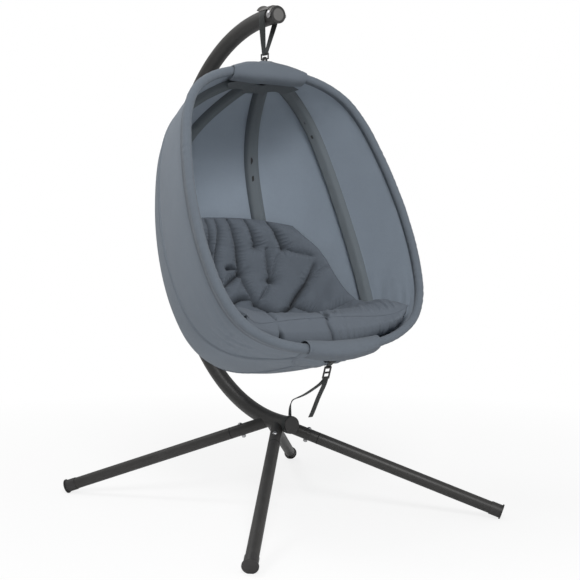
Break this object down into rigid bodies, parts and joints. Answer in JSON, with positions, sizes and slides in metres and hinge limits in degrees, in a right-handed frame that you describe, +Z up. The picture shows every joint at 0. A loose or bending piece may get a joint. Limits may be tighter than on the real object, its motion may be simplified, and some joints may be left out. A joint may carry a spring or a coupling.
{
  "type": "hanging egg chair",
  "caption": "Hanging egg chair: a fabric pod with a tufted seat cushion swings on a strap from a C-shaped pole on four splayed legs.",
  "frame": {"origin": "centre of the object's bounding box, on the floor", "axes": "+Z up; the chair's mouth faces -Y and the pole passes behind the pod on +Y; +X is to the left of someone sitting in the chair"},
  "size_m": [1.0366, 1.2984, 1.7025],
  "materials": {
    "dark_steel": "satin",
    "black_plastic": "matte",
    "zinc_steel": "satin",
    "black_webbing": "matte",
    "cushion_cloth": "matte",
    "trim_cloth": "matte",
    "shell_cloth": "matte"
  },
  "bodies": {
    "stand": {"lower_pole": "dark_steel", "lower_pole_cap": "black_plastic", "upper_pole": "dark_steel", "upper_pole_cap": "black_plastic", "pole_bolts": "zinc_steel", "pole_nuts": "zinc_steel", "leg_front_left": "dark_steel", "leg_front_right": "dark_steel", "leg_back_left": "dark_steel", "leg_back_right": "dark_steel", "foot_cap_front_left": "black_plastic", "foot_cap_front_right": "black_plastic", "foot_cap_back_left": "black_plastic", "foot_cap_back_right": "black_plastic", "leg_bolts": "zinc_steel", "leg_nuts": "zinc_steel", "strap_saddle": "dark_steel", "saddle_bolt": "zinc_steel", "saddle_nut": "zinc_steel", "tether_hub_loop": "black_webbing"},
    "hanger": {"hanging_strap": "black_webbing"},
    "swivel": {"strap_ring": "zinc_steel"},
    "pod": {"top_bracket": "dark_steel", "bottom_bracket": "dark_steel", "bracket_screws": "zinc_steel", "rim_left": "dark_steel", "rim_right": "dark_steel", "rim_sleeve_left": "shell_cloth", "rim_sleeve_right": "shell_cloth", "rib_left_outer": "dark_steel", "rib_left_inner": "dark_steel", "rib_right_inner": "dark_steel", "rib_right_outer": "dark_steel", "band_left_outer": "trim_cloth", "band_left_inner": "trim_cloth", "band_right_inner": "trim_cloth", "band_right_outer": "trim_cloth", "panel_left_side": "shell_cloth", "panel_left_back": "shell_cloth", "panel_middle_back": "shell_cloth", "panel_right_back": "shell_cloth", "panel_right_side": "shell_cloth", "top_cover": "shell_cloth", "bottom_cover": "shell_cloth", "top_lining": "trim_cloth", "top_wrap": "shell_cloth", "bottom_wrap": "shell_cloth", "cushion": "cushion_cloth", "tether_web": "black_webbing", "tether_buckle": "black_plastic", "tether_tab": "black_webbing", "tether_tail": "black_webbing"}
  },
  "joints": [
    {"name": "side_swing", "type": "hinge", "parent": "stand", "child": "hanger", "pos_m": [0, -0.0115, 1.662], "axis": [0, 1, 0], "range_deg": [-8, 8], "deforming": ["tether_web"]},
    {"name": "fore_aft_swing", "type": "hinge", "parent": "hanger", "child": "swivel", "pos_m": [0, -0.0115, 1.662], "axis": [1, 0, 0], "range_deg": [-2.5, 3.8], "deforming": ["hanging_strap", "tether_web"]},
    {"name": "twist", "type": "hinge", "parent": "swivel", "child": "pod", "pos_m": [0, 0.00943, 1.5245], "axis": [0, 0, 1], "range_deg": [-20, 20], "deforming": ["tether_web"]}
  ]
}
